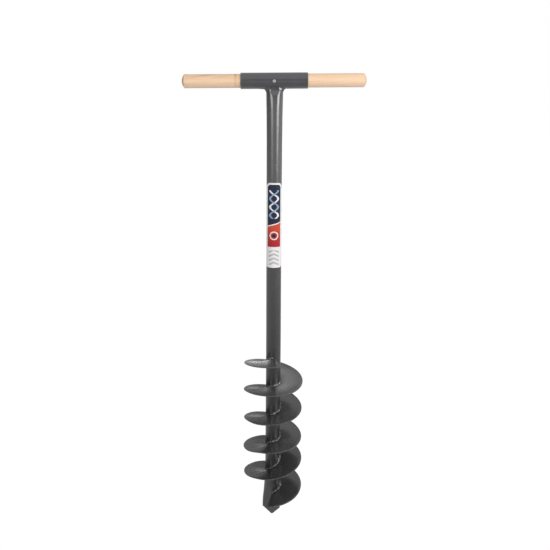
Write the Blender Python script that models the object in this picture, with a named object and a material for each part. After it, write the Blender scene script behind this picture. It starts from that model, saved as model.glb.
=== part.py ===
"""Hand earth auger: wooden cross handle in a steel sleeve, tubular shaft, one
helical flight made of five separately pressed rings, and a flattened V point.

Metres.  +Z runs up the shaft, +X along the handle, -Y is the front (the side
that carries the screw and the label).  The origin is the tip of the point.
"""
import math

import bmesh
import bpy
from mathutils import Matrix, Vector

MM = 0.001
GAP = 0.0003                      # clearance between pieces that touch

# ---- handle -------------------------------------------------------------
HANDLE_Z = 1.1330                 # height of the dowel's centre line
HANDLE_X = -0.0012                # middle of the handle, beside the shaft's axis
HANDLE_TILT = 0.0110              # the handle is welded on a little out of square
DOWEL_R = 0.0157
DOWEL_LEN = 0.4240
DOWEL_FLAT = 0.0040               # flat left in the middle of each end
DOWEL_CAP_R = 0.0237              # radius of the rounded ends
SLEEVE_R = 0.01825
SLEEVE_BORE_R = 0.0160
SLEEVE_LEN = 0.1545
SLEEVE_EDGE = 0.0007

# ---- screw that keeps the dowel in its sleeve ---------------------------
SCREW_HEAD_R = 0.0040
SCREW_HEAD_H = 0.0022
SCREW_SHANK_R = 0.0021
SCREW_LEN = 0.0240                # below the head
SCREW_RECESS = 0.0013
SCREW_ARM = 0.0021
SCREW_ARM_W = 0.0009

# ---- shaft tube ---------------------------------------------------------
TUBE_R = 0.0181
TUBE_WALL = 0.0019
TUBE_SIDES = 48
# (height, radius) of the tube up to its plain part; it widens a little downwards
TUBE_FORM = ((0.080, 0.0179), (0.168, 0.0184), (0.300, 0.0185), (0.480, 0.01855),
             (0.690, 0.01835), (0.900, TUBE_R))
POINT_TURN = math.radians(-6.0)   # the flat of the point is turned a little
# (height, half width) of the pressed lower end
PRESSED = ((0.0225, 0.0252), (0.039, 0.0249), (0.054, 0.0239), (0.066, 0.0227),
           (0.080, 0.0215), (0.093, 0.0206), (0.110, 0.0197), (0.130, 0.0189),
           (0.150, 0.0185), (0.168, 0.0184))
PRESSED_MIN_HALF = 0.0032         # half thickness where the walls meet
# (height, shift along the handle) of the tube's centre below the plain part
LEAN = ((0.090, -0.0015), (0.160, -0.0010), (0.300, -0.0004), (0.420, 0.0002),
        (0.510, 0.0003), (0.690, 0.0))
TIP_HALF_WIDTH = 0.0026
TIP_HALF_THICK = 0.0012
# (height, share cut off the right edge) of the knocked corner of the point
NICK = ((0.0188, 0.0), (0.0225, 0.150), (0.0390, 0.0))
# (height, half width along the handle, half depth) of the top, which is
# squeezed front to back until its sides are flat
TOP = ((0.9800, TUBE_R, TUBE_R), (0.9940, 0.01812, 0.01805),
       (1.0210, 0.01828, 0.01810), (1.0490, 0.01849, 0.01818),
       (1.0700, 0.01883, 0.01814), (1.0815, 0.01906, 0.01794),
       (1.0930, 0.01928, 0.01756), (1.0975, 0.01936, 0.01709),
       (1.1020, 0.01944, 0.01612), (1.1065, 0.01951, 0.01440),
       (1.1110, 0.01956, 0.01250), (1.1200, 0.01960, 0.01080))
SOCKET_CLEAR = SLEEVE_R + GAP     # radius of the saddle cut in the tube end

# ---- flight -------------------------------------------------------------
# ring ends: seams lie at the front of the shaft
RING_ENDS = tuple(math.radians(a) for a in (-101.0, 268.0, 628.0, 988.0,
                                            1348.0, 1723.0))
RING_Z = (0.0645, 0.1451, 0.2198, 0.2979, 0.3763, 0.4535)   # rim at each end
# how far each pressed ring departs from an even screw: once round, dish, twice
RING_FORM = ((-0.0009, 0.0062, -0.0008), (0.0010, 0.0061, 0.0),
             (-0.0064, -0.0008, -0.0001), (-0.0055, 0.0006, -0.0009),
             (-0.0056, -0.0028, -0.0013))
# outer radius and the shift of each ring's centre
RING_OUTER = ((0.0756, 0.0001, 0.0001), (0.0759, -0.0007, 0.0002),
              (0.0743, -0.0004, -0.0005), (0.0744, -0.0005, -0.0001),
              (0.0745, 0.0009, -0.0002))
PLATE = 0.0026
PLATE_EDGE = 0.0005               # worn corners of the rim
RING_STEP = math.radians(6.0)
FIT = 0.00036                     # clearance between plate and tube

# ---- welds --------------------------------------------------------------
BEAD_FOOT, BEAD_RISE = 0.0046, 0.0062
BEAD_LEAD = 10                    # plate steps of the ring below that it covers
BEAD_SPAN = 20                    # plate steps of its own ring
END_BEAD_SPAN = 15                # plate steps of the bead at the top end
SEAM_INNER = 0.0262
SEAM_OUTER = 0.0725
SEAM_HALF = 0.0022
SEAM_RISE = 0.0007
FILLET_DOWN = 0.0076
FILLET_OUT = (0.0054, 0.0046)     # on the left and on the right of the shaft

# ---- label --------------------------------------------------------------
LABEL_TOP = 0.8989
LABEL_BOTTOM = 0.6911
LABEL_THICK = 0.0003
LABEL_HALF_ANGLE = math.radians(74.0)
LABEL_ARCH = 0.0150
LABEL_CORNER = 0.0080


# ------------------------------------------------------------------ scene
for ob in list(bpy.data.objects):
    bpy.data.objects.remove(ob, do_unlink=True)

scene = bpy.context.scene
parts = bpy.data.collections.new("hand_earth_auger")
scene.collection.children.link(parts)
cutters = bpy.data.collections.new("cutters")
scene.collection.children.link(cutters)


def material(name, colour, metallic, rough):
    m = bpy.data.materials.new(name)
    m.use_nodes = True
    b = m.node_tree.nodes["Principled BSDF"]
    b.inputs["Base Color"].default_value = (*colour, 1.0)
    b.inputs["Metallic"].default_value = metallic
    b.inputs["Roughness"].default_value = rough
    m.diffuse_color = (*colour, 1.0)
    return m


PAINT_SLEEVE = material("paint_sleeve", (0.042, 0.042, 0.046), 0.0, 0.24)
PAINT_TUBE = material("paint_tube", (0.036, 0.036, 0.037), 0.0, 0.25)
PAINT_BLADE = material("paint_blade", (0.030, 0.0295, 0.0295), 0.0, 0.24)
PAINT_WELD = material("paint_weld", (0.022, 0.022, 0.022), 0.0, 0.25)
WOOD = material("ash_wood", (0.69, 0.49, 0.335), 0.0, 0.55)
ZINC = material("zinc_plate", (0.50, 0.50, 0.49), 1.0, 0.28)
STICKER = material("sticker", (0.10, 0.13, 0.25), 0.0, 0.35)


def finish(bm, name, mat, where=parts, sharp=35.0):
    """Turn a bmesh into a named object with outward faces."""
    bmesh.ops.recalc_face_normals(bm, faces=bm.faces[:])
    if bm.calc_volume(signed=True) < 0:
        bmesh.ops.reverse_faces(bm, faces=bm.faces[:])
    me = bpy.data.meshes.new(name)
    bm.to_mesh(me)
    bm.free()
    me.materials.append(mat)
    ob = bpy.data.objects.new(name, me)
    where.objects.link(ob)
    me.shade_smooth()
    me.set_sharp_from_angle(angle=math.radians(sharp))
    return ob


def loft(rings, caps=True, around=False):
    """Skin between rings of equal point count; around closes last to first."""
    bm = bmesh.new()
    rows = [[bm.verts.new(p) for p in ring] for ring in rings]
    n = len(rows[0])
    pairs = list(zip(rows, rows[1:]))
    if around:
        pairs.append((rows[-1], rows[0]))
    for a, b in pairs:
        for i in range(n):
            j = (i + 1) % n
            bm.faces.new((a[i], a[j], b[j], b[i]))
    if caps and not around:
        bm.faces.new(list(reversed(rows[0])))
        bm.faces.new(rows[-1])
    return bm


def lathe(profile, steps):
    """Spin a profile of (radius, height) about Z; radius 0 closes on the axis."""
    bm = bmesh.new()
    verts = [bm.verts.new((r, 0.0, z)) for r, z in profile]
    edges = [bm.edges.new(e) for e in zip(verts, verts[1:])]
    if profile[0][0] > 0 and profile[-1][0] > 0:
        edges.append(bm.edges.new((verts[-1], verts[0])))
    bmesh.ops.spin(bm, geom=verts + edges, cent=(0, 0, 0), axis=(0, 0, 1),
                   angle=2 * math.pi, steps=steps, use_duplicate=False)
    bmesh.ops.remove_doubles(bm, verts=bm.verts[:], dist=1e-5)
    return bm


def cut(target, cutter):
    """Subtract a cutter from a part and put the cutter away."""
    cutter.hide_render = True
    cutter.display_type = "WIRE"
    mod = target.modifiers.new("cut", "BOOLEAN")
    mod.operation = "DIFFERENCE"
    mod.solver = "EXACT"
    mod.object = cutter
    return mod


# -------------------------------------------------------- section of the tube
def lerp_table(table, z):
    if z <= table[0][0]:
        return table[0][1]
    for (z0, v0), (z1, v1) in zip(table, table[1:]):
        if z <= z1:
            return v0 + (v1 - v0) * (z - z0) / (z1 - z0)
    return table[-1][1]


def shaft_radius(z):
    return lerp_table(TUBE_FORM, z)


def section(z):
    """Half width, half thickness and turn of the tube at a height."""
    if z < PRESSED[0][0]:
        t = z / PRESSED[0][0]
        top = PRESSED[0][1]
        return (TIP_HALF_WIDTH + (top - TIP_HALF_WIDTH) * t,
                TIP_HALF_THICK + (PRESSED_MIN_HALF - TIP_HALF_THICK)
                * min(1.0, 1.9 * t), POINT_TURN)
    if z < PRESSED[-1][0]:
        a = lerp_table(PRESSED, z)
    elif z > TOP[0][0]:
        return (lerp_table([(h, a) for h, a, _ in TOP], z),
                lerp_table([(h, b) for h, _, b in TOP], z), 0.0)
    else:
        return shaft_radius(z), shaft_radius(z), POINT_TURN
    # pressing keeps the length of the wall, so thickness follows from width
    b = (2 * math.pi * shaft_radius(z) - 4 * a) / (2 * math.pi - 4)
    return a, min(a, max(PRESSED_MIN_HALF, b)), POINT_TURN


def lean(z):
    """Shift of the tube's centre along the handle at a height."""
    return lerp_table(LEAN, z)


def section_ring(z, inset=0.0, height=None):
    a, b, turn = section(z)
    off = lean(z)
    a, b = max(a - inset, 0.0004), max(b - inset, 0.0004)
    b = min(a, b)
    ca, sa = math.cos(turn), math.sin(turn)
    ring = []
    for i in range(TUBE_SIDES):
        t = 2 * math.pi * (i + 0.5) / TUBE_SIDES
        c, s = math.cos(t), math.sin(t)
        x, y = math.copysign(a - b, c) + b * c, b * s
        if x > 0 and z < NICK[-1][0]:
            x *= 1 - lerp_table(NICK, z)
        px, py = x * ca - y * sa + off, x * sa + y * ca
        pz = z if height is None else height(px, py)
        ring.append(Vector((px, py, pz)))
    return ring


def tube_radius(angle, z):
    """Distance from the axis to the tube's skin in a direction."""
    a, b, turn = section(z)
    flat, t, off = a - b, angle - turn, lean(z)
    dx, dy = math.cos(t), math.sin(t)
    ox, oy = -off * math.cos(turn), off * math.sin(turn)
    best = 0.0
    for middle in (flat, -flat):
        along = (ox - middle) * dx + oy * dy
        q = along ** 2 - (ox - middle) ** 2 - oy ** 2 + b * b
        if q > 0:
            best = max(best, math.sqrt(q) - along)
    if abs(dy) > 1e-9:
        r = (math.copysign(b, dy) - oy) / dy
        if abs(ox + r * dx) <= flat:
            best = max(best, r)
    return best


def clear_radius(angle, z, gap):
    """Radius that keeps a gap to the tube just above and below a height."""
    return max(tube_radius(angle, z + d) for d in (-0.004, 0.0, 0.004)) + gap


# ------------------------------------------------------------ handle pieces
HANDLE = Matrix.Translation((HANDLE_X, 0.0, HANDLE_Z)) @ \
    Matrix.Rotation(-HANDLE_TILT, 4, "Y")


def along_handle(ob):
    ob.matrix_world = HANDLE @ Matrix.Rotation(math.pi / 2, 4, "Y")


half = DOWEL_LEN / 2


def cap_depth(r):
    return (math.sqrt(DOWEL_CAP_R ** 2 - DOWEL_FLAT ** 2)
            - math.sqrt(DOWEL_CAP_R ** 2 - r * r))


end = [(r, half - cap_depth(r)) for r in (DOWEL_FLAT, 0.0078, 0.0112, 0.0134,
                                          0.01505)]
end.append((DOWEL_R, half - cap_depth(DOWEL_R) - 0.0009))
profile = [(0.0, half)] + end + [(r, -z) for r, z in reversed(end)] + \
    [(0.0, -half)]
dowel = finish(lathe(profile, 48), "handle_dowel", WOOD, sharp=40.0)
along_handle(dowel)

hs = SLEEVE_LEN / 2
profile = [(SLEEVE_R, hs - 2 * SLEEVE_EDGE),
           (SLEEVE_R - 0.3 * SLEEVE_EDGE, hs - 0.5 * SLEEVE_EDGE),
           (SLEEVE_R - SLEEVE_EDGE, hs),
           (SLEEVE_BORE_R, hs), (SLEEVE_BORE_R, -hs),
           (SLEEVE_R - SLEEVE_EDGE, -hs),
           (SLEEVE_R - 0.3 * SLEEVE_EDGE, -hs + 0.5 * SLEEVE_EDGE),
           (SLEEVE_R, -hs + 2 * SLEEVE_EDGE)]
sleeve = finish(lathe(profile, 56), "handle_sleeve", PAINT_SLEEVE, sharp=50.0)
along_handle(sleeve)

# screw: pan head with a cross recess, plain shank and a short point
y_face = -SLEEVE_R - GAP
head = []
for i in range(6):
    t = math.pi / 2 * i / 5
    head.append((SCREW_HEAD_R * math.sin(t) ** 0.75 if i else 0.0,
                 0.0006 + (SCREW_HEAD_H - 0.0006) * math.cos(t)))
profile = head + [(SCREW_HEAD_R, 0.0), (SCREW_SHANK_R, 0.0),
                  (SCREW_SHANK_R, -SCREW_LEN + 0.005), (0.0, -SCREW_LEN)]
screw = finish(lathe(profile, 28), "handle_screw", ZINC, sharp=40.0)
screw_frame = HANDLE @ Matrix.Translation((0.0, y_face, 0.0)) @ \
    Matrix.Rotation(math.pi / 2, 4, "X")
screw.matrix_world = screw_frame

a, w = SCREW_ARM, SCREW_ARM_W / 2
plus = [(a, -w), (a, w), (w, w), (w, a), (-w, a), (-w, w), (-a, w), (-a, -w),
        (-w, -w), (-w, -a), (w, -a), (w, -w)]
rings = [[Vector((x * k, y * k, z)) for x, y in plus]
         for z, k in ((SCREW_HEAD_H - SCREW_RECESS, 0.72),
                      (SCREW_HEAD_H + 0.001, 1.06))]
recess = finish(loft(rings), "recess_cutter", ZINC, cutters)
recess.matrix_world = screw_frame @ Matrix.Rotation(math.radians(20), 4, "Z")
cut(screw, recess)

hole_r = SCREW_SHANK_R + 0.00035
hole = finish(lathe([(0.0, 0.004), (hole_r, 0.004),
                     (hole_r, -SCREW_LEN - 0.0015), (0.0, -SCREW_LEN - 0.0015)],
                    28), "screw_hole_cutter", ZINC, cutters)
hole.matrix_world = screw_frame
cut(sleeve, hole)
cut(dowel, hole)


# ------------------------------------------------------------------ shaft
def saddle(radius):
    """Height of a cylinder's underside about the handle's line."""
    def height(x, y):
        return (HANDLE_Z + (x - HANDLE_X) * math.tan(HANDLE_TILT)
                - math.sqrt(max(0.0, radius ** 2 - y ** 2)) / math.cos(HANDLE_TILT))
    return height


outer = [section_ring(z) for z in (0.0, 0.005, 0.012, 0.0188)]
outer += [section_ring(z) for z, _ in PRESSED]
outer += [section_ring(z) for z in (0.30, 0.42, 0.48, 0.51, 0.60, 0.69, 0.80, 0.90)]
outer += [section_ring(z) for z, _, _ in TOP[:-1]]
outer.append(section_ring(1.120, height=saddle(SOCKET_CLEAR)))
inner = [section_ring(1.120, TUBE_WALL, saddle(SOCKET_CLEAR))]
inner += [section_ring(z, TUBE_WALL) for z in
          (1.107, 1.0975, 1.070, 0.980, 0.42, 0.168, 0.130, 0.093, 0.066, 0.054)]
tube = finish(loft(outer + inner), "shaft_tube", PAINT_TUBE, sharp=40.0)


# ----------------------------------------------------------------- flight
def ring_index(angle):
    k = 0
    while k < len(RING_FORM) - 1 and angle > RING_ENDS[k + 1]:
        k += 1
    return k


def rim_height(angle, k):
    t = (angle - RING_ENDS[k]) / (RING_ENDS[k + 1] - RING_ENDS[k])
    once, dish, twice = RING_FORM[k]
    return (RING_Z[k] + (RING_Z[k + 1] - RING_Z[k]) * t
            + once * math.sin(2 * math.pi * t)
            + dish * (1 - math.cos(2 * math.pi * t)) / 2
            + twice * math.sin(4 * math.pi * t))


def rim_radius(angle, k):
    r, ex, ey = RING_OUTER[k]
    return r + ex * math.cos(angle) + ey * math.sin(angle)


def polar(r, angle, z):
    return Vector((r * math.cos(angle), r * math.sin(angle), z))


def plate_section(angle, k, lead):
    """Cross section of one ring; lead moves its end face off the seam."""
    z = rim_height(angle, k)
    ro = rim_radius(angle, k)
    h = PLATE / 2
    ri = clear_radius(angle, z, FIT)
    rm = ri + (ro - ri) * 0.45
    e = PLATE_EDGE
    pts = ((ri, z - h), (rm, z - h), (ro - e, z - h), (ro, z - h + e),
           (ro, z + h - e), (ro - e, z + h), (rm, z + h), (ri, z + h))
    return [polar(r, angle + lead / r, pz) for r, pz in pts]


def ring_steps(k):
    return int(round((RING_ENDS[k + 1] - RING_ENDS[k]) / RING_STEP))


flights = []
for k in range(len(RING_FORM)):
    a0, a1 = RING_ENDS[k], RING_ENDS[k + 1]
    steps = ring_steps(k)
    rings = []
    for i in range(steps + 1):
        lead = 0.0
        if i == 0 and k > 0:
            lead = GAP / 2 + 0.00003
        if i == steps and k < len(RING_FORM) - 1:
            lead = -GAP / 2 - 0.00003
        rings.append(plate_section(a0 + (a1 - a0) * i / steps, k, lead))
    flights.append(finish(loft(rings), f"flight_{k + 1}", PAINT_BLADE,
                          sharp=30.0))


# ------------------------------------------------------------------ welds
def bead_section(angle, k, size):
    """Fillet between the top of the plate and the tube."""
    z0 = rim_height(angle, k) + PLATE / 2 + GAP + 0.00008
    r0 = clear_radius(angle, z0 + 0.0035, FIT + 0.0001)
    foot, rise = BEAD_FOOT * size, BEAD_RISE * size
    pts = ((r0, z0), (r0 + foot, z0), (r0 + 0.78 * foot, z0 + 0.38 * rise),
           (r0 + 0.40 * foot, z0 + 0.76 * rise), (r0, z0 + rise))
    return [polar(r, angle, z) for r, z in pts]


def bead(name, k, first, last):
    """Bead over the plate steps first..last of ring k; below zero is ring k - 1."""
    front = math.radians(-90.0 + 360.0 * k)
    rings = []
    for i in range(first, last + 1):
        on, step = (k, i) if i >= 0 else (k - 1, ring_steps(k - 1) + i)
        angle = RING_ENDS[on] + (RING_ENDS[on + 1] - RING_ENDS[on]) * step \
            / ring_steps(on)
        t = (i - first) / (last - first)
        size = min(1.0, 0.35 + 5.0 * min(t, 1 - t))
        size *= 0.95 + 0.10 * math.sin(2 * math.pi * t * 6.5 + k)
        if first < 0:             # thinner where it runs on to the left
            az = math.degrees(angle - front)
            size *= 0.55 + 0.45 * min(1.0, max(0.0, (az + 22) / 26))
        rings.append(bead_section(angle, on, size))
    return finish(loft(rings), name, PAINT_WELD, sharp=60.0)


top = len(RING_FORM) - 1
for k in range(top + 1):
    bead(f"flight_weld_{k + 1}", k, -BEAD_LEAD if k else 1, BEAD_SPAN)
bead("flight_end_weld", top, ring_steps(top) - END_BEAD_SPAN,
     ring_steps(top) - 1)

for k in range(1, len(RING_FORM)):
    rings = []
    for i in range(12):
        r = SEAM_INNER + (SEAM_OUTER - SEAM_INNER) * i / 11
        swell = 1.0 + 0.15 * math.sin(i * 2.1 + k)
        ring = []
        for s, rise in ((-1.0, 0.0), (1.0, 0.0), (0.62, 0.62), (0.0, 1.0),
                        (-0.62, 0.62)):
            angle = RING_ENDS[k] + s * SEAM_HALF * swell / r
            kk = k if s > 0 else k - 1
            z = rim_height(angle, kk) + PLATE / 2 + GAP + 0.00015
            ring.append(polar(r, angle, z + rise * SEAM_RISE))
        rings.append(ring)
    finish(loft(rings), f"seam_weld_{k}", PAINT_WELD, sharp=60.0)

# fillet all round the joint of tube and sleeve
rings = []
steps = 48
for i in range(steps):
    t = 2 * math.pi * (i + 0.5) / steps
    c, s = math.cos(t), math.sin(t)
    n = Vector((c, s, 0.0))

    def skin(z, off):
        aa, bb, _ = section(z)
        return Vector((math.copysign(aa - bb, c) + bb * c, bb * s, 0.0)) + n * off

    def under(p, extra):
        y = max(-SLEEVE_R, min(SLEEVE_R, p.y))
        return saddle(SLEEVE_R + extra)(p.x, y)

    side = abs(c) ** 1.5
    front = max(0.0, -s) * (1.0 if c > 0 else 0.45)
    down = FILLET_DOWN * (0.62 + 0.38 * side - 0.40 * front)
    out = 0.0014 + (FILLET_OUT[c > 0] - 0.0014) * side - 0.0006 * front
    top = skin(1.118, GAP)
    z_top = under(top, GAP)
    p_a = Vector((top.x, top.y, z_top))
    low = skin(z_top - down, GAP + 0.0001)
    p_b = Vector((low.x, low.y, z_top - down))
    on_sleeve = []
    for share in (1 / 3, 2 / 3, 1.0):
        far = top + n * (out * share)
        on_sleeve.append(Vector((far.x, far.y, under(far, GAP + 0.00006))))
    p_c = on_sleeve[-1]
    mid = (p_b + p_c) / 2
    p_m = mid + (p_a - mid) * 0.18 * side
    rings.append([p_a, p_b, p_b + n * 0.0006, p_m,
                  p_c - Vector((0, 0, 0.0006))] + on_sleeve[::-1])
finish(loft(rings, caps=False, around=True), "socket_weld", PAINT_WELD,
       sharp=60.0)

# ------------------------------------------------------------------ label
rows, cols = 10, 20
half_w = LABEL_HALF_ANGLE * TUBE_R


def arch(u, depth):
    """Drop of the label's end edge at a sideways position u."""
    flat = half_w - depth
    over = max(0.0, abs(u) - flat)
    return depth - math.sqrt(max(0.0, depth * depth - over * over))


bm = bmesh.new()
grids = []
for off in (GAP, GAP + LABEL_THICK):
    grid = []
    for j in range(cols + 1):
        # columns crowd towards the rounded edges
        s = math.sin(math.pi / 2 * (2 * j / cols - 1))
        u = s * half_w * 0.9999
        z_hi = LABEL_TOP - arch(u, LABEL_ARCH)
        z_lo = LABEL_BOTTOM + arch(u, LABEL_CORNER)
        angle = -math.pi / 2 + s * LABEL_HALF_ANGLE
        heights = [z_lo + (z_hi - z_lo) * i / rows for i in range(rows + 1)]
        grid.append([bm.verts.new(polar(shaft_radius(z) + off, angle, z))
                     for z in heights])
    grids.append(grid)
for g in grids:
    for j in range(cols):
        for i in range(rows):
            bm.faces.new((g[j][i], g[j + 1][i], g[j + 1][i + 1], g[j][i + 1]))
lo, hi = grids
border = [(j, 0) for j in range(cols)] + [(cols, i) for i in range(rows)] + \
    [(j, rows) for j in range(cols, 0, -1)] + [(0, i) for i in
                                               range(rows, 0, -1)]
for (j0, i0), (j1, i1) in zip(border, border[1:] + border[:1]):
    bm.faces.new((lo[j0][i0], lo[j1][i1], hi[j1][i1], hi[j0][i0]))
finish(bm, "label", STICKER, sharp=40.0)
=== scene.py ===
"""Looks of the hand earth auger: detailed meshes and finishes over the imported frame.

Metres, +Z up the shaft, +X along the handle, -Y to the front.
"""

import math

import bmesh
import bpy
from mathutils import Matrix, Vector, noise


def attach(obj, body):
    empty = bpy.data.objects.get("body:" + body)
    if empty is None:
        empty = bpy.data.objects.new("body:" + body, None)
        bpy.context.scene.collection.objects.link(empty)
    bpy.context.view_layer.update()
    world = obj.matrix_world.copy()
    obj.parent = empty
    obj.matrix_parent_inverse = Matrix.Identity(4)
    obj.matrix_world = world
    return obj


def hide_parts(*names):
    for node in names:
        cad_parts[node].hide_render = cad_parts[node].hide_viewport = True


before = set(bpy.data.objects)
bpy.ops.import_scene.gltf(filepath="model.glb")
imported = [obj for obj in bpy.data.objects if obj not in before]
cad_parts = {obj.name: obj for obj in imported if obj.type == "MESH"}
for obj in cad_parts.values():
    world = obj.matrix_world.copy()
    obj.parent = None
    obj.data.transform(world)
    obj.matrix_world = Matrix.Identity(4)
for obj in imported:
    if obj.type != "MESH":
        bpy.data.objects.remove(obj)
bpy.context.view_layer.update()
scene = bpy.context.scene
scene.view_settings.view_transform = "Standard"
scene.view_settings.look = "None"
scene.view_settings.exposure = 0.0
scene.view_settings.gamma = 1.0

GAP = 0.0003
HANDLE_X, HANDLE_Z, HANDLE_TILT = -0.0012, 1.1330, 0.0110
DOWEL_R, DOWEL_LEN, DOWEL_FLAT, DOWEL_CAP_R = 0.0157, 0.4240, 0.0040, 0.0237
SLEEVE_R, SLEEVE_BORE_R, SLEEVE_LEN, SLEEVE_EDGE = 0.01825, 0.0160, 0.1545, 0.0007
SCREW_HEAD_R, SCREW_HEAD_H = 0.0040, 0.0022
TUBE_R, TUBE_WALL = 0.0181, 0.0019
# (height, radius) of the tube up to its plain part
TUBE_FORM = ((0.080, 0.0179), (0.168, 0.0184), (0.300, 0.0185), (0.480, 0.01855),
             (0.690, 0.01835), (0.900, TUBE_R))
POINT_TURN = math.radians(-6.0)
PRESSED = ((0.0225, 0.0252), (0.039, 0.0249), (0.054, 0.0239), (0.066, 0.0227),
           (0.080, 0.0215), (0.093, 0.0206), (0.110, 0.0197), (0.130, 0.0189),
           (0.150, 0.0185), (0.168, 0.0184))
PRESSED_MIN_HALF = 0.0032
LEAN = ((0.090, -0.0015), (0.160, -0.0010), (0.300, -0.0004), (0.420, 0.0002),
        (0.510, 0.0003), (0.690, 0.0))
# (height, share cut off the right edge) of the knocked corner of the point
NICK = ((0.0188, 0.0), (0.0225, 0.150), (0.0390, 0.0))
TIP_HALF_WIDTH, TIP_HALF_THICK = 0.0026, 0.0012
TOP = ((0.9800, TUBE_R, TUBE_R), (0.9940, 0.01812, 0.01805),
       (1.0210, 0.01828, 0.01810), (1.0490, 0.01849, 0.01818),
       (1.0700, 0.01883, 0.01814), (1.0815, 0.01906, 0.01794),
       (1.0930, 0.01928, 0.01756), (1.0975, 0.01936, 0.01709),
       (1.1020, 0.01944, 0.01612), (1.1065, 0.01951, 0.01440),
       (1.1110, 0.01956, 0.01250), (1.1200, 0.01960, 0.01080))
RING_ENDS = tuple(math.radians(a) for a in (-101.0, 268.0, 628.0, 988.0,
                                            1348.0, 1723.0))
RING_Z = (0.0645, 0.1451, 0.2198, 0.2979, 0.3763, 0.4535)
RING_FORM = ((-0.0009, 0.0062, -0.0008), (0.0010, 0.0061, 0.0),
             (-0.0064, -0.0008, -0.0001), (-0.0055, 0.0006, -0.0009),
             (-0.0056, -0.0028, -0.0013))
RING_OUTER = ((0.0756, 0.0001, 0.0001), (0.0759, -0.0007, 0.0002),
              (0.0743, -0.0004, -0.0005), (0.0744, -0.0005, -0.0001),
              (0.0745, 0.0009, -0.0002))
# places where a ring was pressed too high or too low: (share of its turn, lift)
RING_LIFT = (((0.13, -0.0005), (0.38, 0.0005), (0.60, 0.0002), (0.68, -0.0008),
              (0.82, -0.0003), (0.92, 0.0012)),
             ((0.17, 0.0004), (0.35, 0.0009), (0.56, 0.0008), (0.70, -0.0005),
              (0.83, 0.0005), (0.93, 0.0033)),
             ((0.15, -0.0017), (0.36, -0.0020), (0.56, -0.0010), (0.68, -0.0012),
              (0.83, 0.0017), (0.93, 0.0002)),
             ((0.16, 0.0006), (0.36, -0.0012), (0.57, -0.0005), (0.68, -0.0002),
              (0.85, 0.0024), (0.95, 0.0016)),
             ((0.12, -0.0010), (0.38, -0.0010), (0.57, -0.0001), (0.82, 0.0006),
              (0.91, 0.0004)))
PLATE = 0.0026
FIT = 0.00036
BEAD_FOOT, BEAD_RISE = 0.0046, 0.0062
BEAD_LEAD, BEAD_SPAN = 10, 20
LABEL_TOP, LABEL_BOTTOM, LABEL_THICK = 0.8989, 0.6911, 0.0003
LABEL_HALF_ANGLE = math.radians(74.0)
LABEL_ARCH, LABEL_CORNER = 0.0150, 0.0080


# =================================================================== nodes
class Graph:
    """Small helper to write a material's node tree."""

    def __init__(self, name):
        self.mat = bpy.data.materials.new(name)
        self.mat.use_nodes = True
        self.tree = self.mat.node_tree
        self.bsdf = self.tree.nodes["Principled BSDF"]

    def node(self, kind, **props):
        n = self.tree.nodes.new(kind)
        for k, v in props.items():
            setattr(n, k, v)
        return n

    def plug(self, value, socket):
        if isinstance(value, bpy.types.NodeSocket):
            self.tree.links.new(value, socket)
        else:
            socket.default_value = value

    def math(self, op, a, b=None, c=None, clamp=False):
        n = self.node("ShaderNodeMath", operation=op, use_clamp=clamp)
        for i, v in enumerate((a, b, c)):
            if v is not None:
                self.plug(v, n.inputs[i])
        return n.outputs[0]

    def coords(self, output="Object"):
        return self.node("ShaderNodeTexCoord").outputs[output]

    def stretch(self, vector, scale):
        n = self.node("ShaderNodeMapping")
        self.plug(vector, n.inputs["Vector"])
        n.inputs["Scale"].default_value = scale
        return n.outputs[0]

    def noise(self, vector, scale, detail=3.0, rough=0.5, distort=0.0):
        n = self.node("ShaderNodeTexNoise")
        self.plug(vector, n.inputs["Vector"])
        n.inputs["Scale"].default_value = scale
        n.inputs["Detail"].default_value = detail
        n.inputs["Roughness"].default_value = rough
        n.inputs["Distortion"].default_value = distort
        return n.outputs["Fac"]

    def cells(self, vector, scale, feature="SMOOTH_F1", smooth=0.6):
        n = self.node("ShaderNodeTexVoronoi", feature=feature)
        self.plug(vector, n.inputs["Vector"])
        n.inputs["Scale"].default_value = scale
        if feature == "SMOOTH_F1":
            n.inputs["Smoothness"].default_value = smooth
        return n.outputs["Distance"]

    def span(self, value, a0, a1, b0, b1):
        n = self.node("ShaderNodeMapRange")
        self.plug(value, n.inputs["Value"])
        for key, v in (("From Min", a0), ("From Max", a1), ("To Min", b0),
                       ("To Max", b1)):
            n.inputs[key].default_value = v
        return n.outputs["Result"]

    def ramp(self, value, stops):
        n = self.node("ShaderNodeValToRGB")
        self.plug(value, n.inputs["Fac"])
        e = n.color_ramp.elements
        while len(e) < len(stops):
            e.new(0.5)
        for el, (pos, col) in zip(e, stops):
            el.position = pos
            el.color = (*col, 1.0)
        return n.outputs["Color"]

    def mix(self, fac, a, b, mode="MIX"):
        n = self.node("ShaderNodeMix", data_type="RGBA", blend_type=mode)
        self.plug(fac, n.inputs[0])
        for v, s in ((a, n.inputs[6]), (b, n.inputs[7])):
            self.plug(v if isinstance(v, bpy.types.NodeSocket) else (*v, 1.0), s)
        return n.outputs[2]

    def bump(self, height, strength, distance, after=None):
        n = self.node("ShaderNodeBump")
        n.inputs["Strength"].default_value = strength
        n.inputs["Distance"].default_value = distance
        self.plug(height, n.inputs["Height"])
        if after is not None:
            self.plug(after, n.inputs["Normal"])
        return n.outputs["Normal"]

    def attribute(self, name):
        return self.node("ShaderNodeAttribute", attribute_name=name).outputs["Fac"]

    def set(self, **values):
        names = {"colour": "Base Color", "rough": "Roughness", "metal": "Metallic",
                 "normal": "Normal", "ior": "IOR", "coat": "Coat Weight",
                 "coat_rough": "Coat Roughness", "specular": "Specular IOR Level",
                 "sheen": "Sheen Weight", "sheen_rough": "Sheen Roughness"}
        for k, v in values.items():
            self.plug(v, self.bsdf.inputs[names[k]])
        return self.mat


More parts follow.
